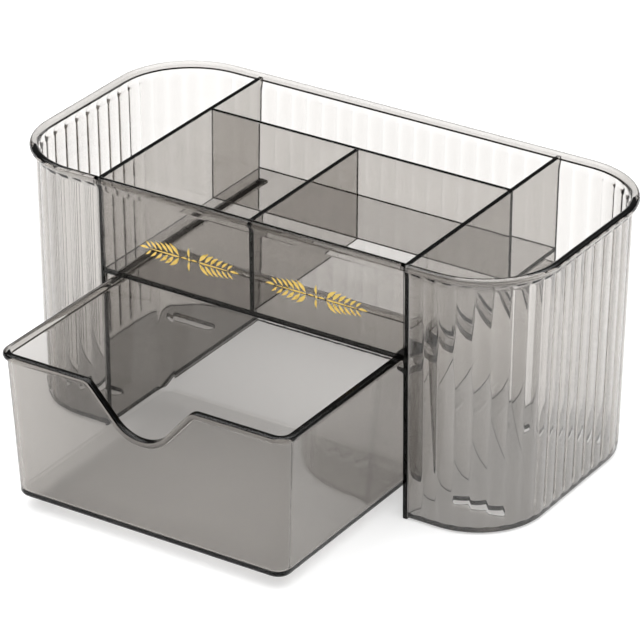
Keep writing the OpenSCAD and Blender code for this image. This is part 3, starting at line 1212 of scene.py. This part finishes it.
@dataclass
class FoilOrnament:
    """Two plain leaf sprigs in foil on the front panel, one before each front compartment.

    The foil runs from sink to thick out of the panel's face, thin keeps an outline open at
    its ends, stem_gaps are free of leaves, and petals are the upright and level lengths.
    """

    size: HousingSizes = field(default_factory=HousingSizes)
    centres: tuple = (-28.5, 30.5)
    base_z: float = 86.5
    half: float = 23.0
    sink: float = 0.01
    thick: float = 0.05
    thin: float = 0.01
    bare_stem: float = 4.4
    stem_half: float = 0.26
    tip_length: float = 4.2
    tip_gap: float = 0.3
    leaf_pairs: int = 6
    leaf_length: float = 6.2
    leaf_width: float = 1.45
    leaf_angle: float = 44.0
    leaf_shrink: float = 0.085
    leaf_root: float = 0.55
    leaf_bow: float = 0.06
    stem_gaps: tuple = (0.4, 0.8)
    petal_root: float = 0.9
    petals: tuple = (4.2, 3.0)
    dot_radius: float = 0.6

    @staticmethod
    def blade(x: np.ndarray, middle: np.ndarray, width: np.ndarray) -> np.ndarray:
        """A closed outline about a middle line over rising x, counter-clockwise."""
        low, high = np.stack([x, middle - width], -1), np.stack([x, middle + width], -1)
        return np.vstack([low, high[::-1]])

    @staticmethod
    def dot(x: float, z: float, radius: float) -> np.ndarray:
        """A round dot: (x + r cos a, z + r sin a)."""
        a = np.arange(24) * 2 * math.pi / 24
        return np.stack([x + radius * np.cos(a), z + radius * np.sin(a)], -1)

    def leaf(self, root: tuple, angle: float, length: float) -> np.ndarray:
        """A pointed leaf from its root.

        With t from 0 to 1 along it, its half width is 0.55 w sin(pi t) (1.2 - 0.5 t), and
        its middle bows by leaf_bow of its length.

        Args:
            root: x and height of its root.
            angle: its direction, in degrees.
            length: its length.

        Returns:
            A closed outline, an (n, 2) array.
        """
        t = np.linspace(0.0, 1.0, 19)
        a = math.radians(angle)
        swell = np.sin(np.pi * t)
        width = 0.55 * self.leaf_width * length / self.leaf_length * swell * (1.2 - 0.5 * t)
        bow = math.copysign(self.leaf_bow, math.sin(a) * math.cos(a))
        flat = self.blade(length * t, length * bow * swell, width + self.thin)
        turn = np.array([[math.cos(a), math.sin(a)], [-math.sin(a), math.cos(a)]])
        return flat @ turn + root

    def branch(self, centre: float, side: int) -> list:
        """Half of a sprig: its stem, the leaf at its tip and its pairs of leaves.

        With u from -1 to 1 along x, the stem's half width is w (1 - 0.55 side u) (1 - u^8).

        Args:
            centre: x of the sprig's middle.
            side: 1 for the right half and -1 for the left one.

        Returns:
            Closed outlines, in x and height over the base line.
        """
        first, last = self.bare_stem, self.half - self.tip_length
        u = np.linspace(-1, 1, 31)
        x = centre + side * (first + last) / 2 + (last - first) / 2 * u
        stem = self.stem_half * (1 - 0.55 * side * u) * (1 - u ** 8) + self.thin
        tip = (centre + side * (last + self.tip_gap), 0.0)
        out = [self.blade(x, 0 * u, stem),
               self.leaf(tip, 90.0 - side * 90.0, self.half - last)]
        near, far = self.stem_gaps
        for k, at in enumerate(np.linspace(first + near, last - far, self.leaf_pairs)):
            length = self.leaf_length * (1 - self.leaf_shrink * k)
            for way in (1, -1):
                angle = 90.0 - side * (90.0 - way * self.leaf_angle)
                out.append(self.leaf((centre + side * at, way * self.leaf_root), angle, length))
        return out

    def sprig(self, centre: float) -> list:
        """Outlines of one sprig, mirrored about its centre.

        Leaves stand off the stem in pairs that shrink outward, and four petals round a dot
        are in the middle.

        Args:
            centre: x of its middle.

        Returns:
            Closed outlines, in x and height over the base line.
        """
        root, (tall, wide) = self.petal_root, self.petals
        sides = (1, -1)
        out = [self.leaf((centre, side * root), side * 90.0, tall) for side in sides]
        out += [self.leaf((centre + side * root, 0.0), 90.0 - side * 90.0, wide) for side in sides]
        out.append(self.dot(centre, 0.0, self.dot_radius))
        return out + self.branch(centre, 1) + self.branch(centre, -1)

    def foil(self, name: str, centre: float) -> bpy.types.Object:
        """One sprig as a thin raised foil on the panel's outer face.

        Args:
            name: plain name.
            centre: x of its middle.

        Returns:
            The sprig.
        """
        points, faces, first = [], [], 0
        for outline in self.sprig(centre):
            z = outline[:, 1] + self.base_z
            y = -self.size.front_face(z)
            n = len(outline)
            for out in (self.sink, self.thick):
                points.append(np.stack([outline[:, 0], y - out, z], -1))
            faces += ring_faces(2, n, first)
            faces += [list(range(first, first + n))[::-1], list(range(first + n, first + 2 * n))]
            first += 2 * n
        return build_object(name, np.vstack(points), faces)

    def build(self, wardrobe: Wardrobe) -> None:
        """Builds and dresses both sprigs."""
        for name, centre in zip(("left_foil_sprig", "right_foil_sprig"), self.centres):
            wardrobe.dress(self.foil(name, centre), Finish.FOIL, "housing")


# ------------------------------------------------------------------------------ photograph

@dataclass(frozen=True)
class View:
    """The camera's place: what it looks at, its turn and its long lens.

    Target and distance are in millimetres, and clip in metres.
    """

    target: tuple = (-47.55, 69.73, 0.0)
    yaw: float = 32.26
    pitch: float = 27.06
    roll: float = 0.36
    distance: float = 1865.4
    lens: float = 247.3
    sensor: float = 36.0
    shift: tuple = (-0.0042, -0.0009)
    clip: tuple = (0.05, 20.0)

    def build(self) -> None:
        """Makes the scene's camera."""
        yaw, pitch, roll = (math.radians(v) for v in (self.yaw, self.pitch, self.roll))
        level = math.cos(pitch)
        back = Vector((math.sin(yaw) * level, -math.cos(yaw) * level, math.sin(pitch)))
        right = Vector((math.cos(yaw), math.sin(yaw), 0.0))
        up = back.cross(right)
        turned = right * math.cos(roll) + up * math.sin(roll)
        upright = up * math.cos(roll) - right * math.sin(roll)
        data = bpy.data.cameras.new("camera")
        data.lens, data.sensor_width = self.lens, self.sensor
        data.shift_x, data.shift_y = self.shift
        data.clip_start, data.clip_end = self.clip
        camera = bpy.data.objects.new("camera", data)
        camera.matrix_world = Matrix((turned, upright, back)).transposed().to_4x4()
        camera.location = (Vector(self.target) + back * self.distance) * MM
        bpy.context.scene.collection.objects.link(camera)
        bpy.context.scene.camera = camera


@dataclass(frozen=True)
class Studio:
    """The pale floor, the soft white surroundings and how light is traced.

    The surroundings are white at the horizon, dim above it, and a broad soft light
    overhead, all the same from every side, so that upright sheets stay bright and their
    edges go dark.
    """

    floor_glow: float = 0.45
    floor_white: float = 0.66
    floor_rough: float = 0.9
    floor_half: float = 6000.0
    floor_drop: float = 0.4
    horizon: float = 1.2
    dim: float = 0.12
    overhead: float = 3.0
    horizon_top: float = 0.07
    dim_from: float = 0.15
    dim_to: float = 0.58
    overhead_from: float = 0.80

    def floor(self) -> None:
        """A wide pale floor that gives back soft light."""
        half = self.floor_half
        plan = np.array([(-half, -half), (half, -half), (half, half), (-half, half)])
        corners = place(plan, -self.floor_drop, Plane.XY)
        thing = build_object("studio_floor", corners, [(0, 1, 2, 3)])
        material, _, shader = new_material("studio_floor")
        fill(shader, {
            "Base Color": (*[self.floor_white] * 3, 1.0),
            "Roughness": self.floor_rough,
            "Specular IOR Level": 0.0,
            "Emission Color": WHITE,
            "Emission Strength": self.floor_glow,
        })
        thing.data.materials.append(material)

    def surroundings(self) -> None:
        """A world that is horizon, dim or overhead by the height of the direction."""
        world = bpy.data.worlds.new("studio")
        bpy.context.scene.world = world
        world.use_nodes = True
        tree = world.node_tree
        where = tree.nodes.new("ShaderNodeTexCoord").outputs["Generated"]
        split = add_node(tree, "SeparateXYZ", {"Vector": where})
        node = add_node(tree, "ValToRGB", {"Fac": split.outputs["Z"]})
        stops = ((0.0, self.horizon), (self.horizon_top, self.horizon),
                 (self.dim_from, self.dim), (self.dim_to, self.dim),
                 (self.overhead_from, self.overhead), (1.0, self.overhead))
        ramp = node.color_ramp
        while len(ramp.elements) < len(stops):
            ramp.elements.new(0.5)
        for element, (at, bright) in zip(ramp.elements, stops):
            element.position = at
            element.color = (*[bright / self.overhead] * 3, 1.0)
        fill(tree.nodes["Background"], {"Color": node.outputs["Color"], "Strength": self.overhead})

    def tracing(self) -> None:
        """Lets light pass many sheets of plastic, and keeps plain tones."""
        scene = bpy.context.scene
        scene.cycles.max_bounces = 28
        scene.cycles.transmission_bounces = 28
        scene.cycles.glossy_bounces = 16
        scene.cycles.diffuse_bounces = 3
        scene.cycles.transparent_max_bounces = 16
        scene.view_settings.view_transform = "Standard"

    def build(self) -> None:
        """Sets up the studio."""
        self.floor()
        self.surroundings()
        self.tracing()


def main() -> None:
    """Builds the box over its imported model, piece by piece."""
    logging.basicConfig(level=logging.INFO, format="%(name)s: %(message)s")
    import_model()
    housing = HousingSizes()
    wardrobe = Wardrobe()
    View().build()
    Studio().build()
    wardrobe.dress(RibbedWall(housing).build(), Finish.WALL, "housing", ("ribbed_wall",))
    Tray(housing).build(wardrobe)
    Wells(housing).build(wardrobe)
    Drawer(house=housing).build(wardrobe)
    FoilOrnament(housing).build(wardrobe)


if __name__ == "__main__":
    main()
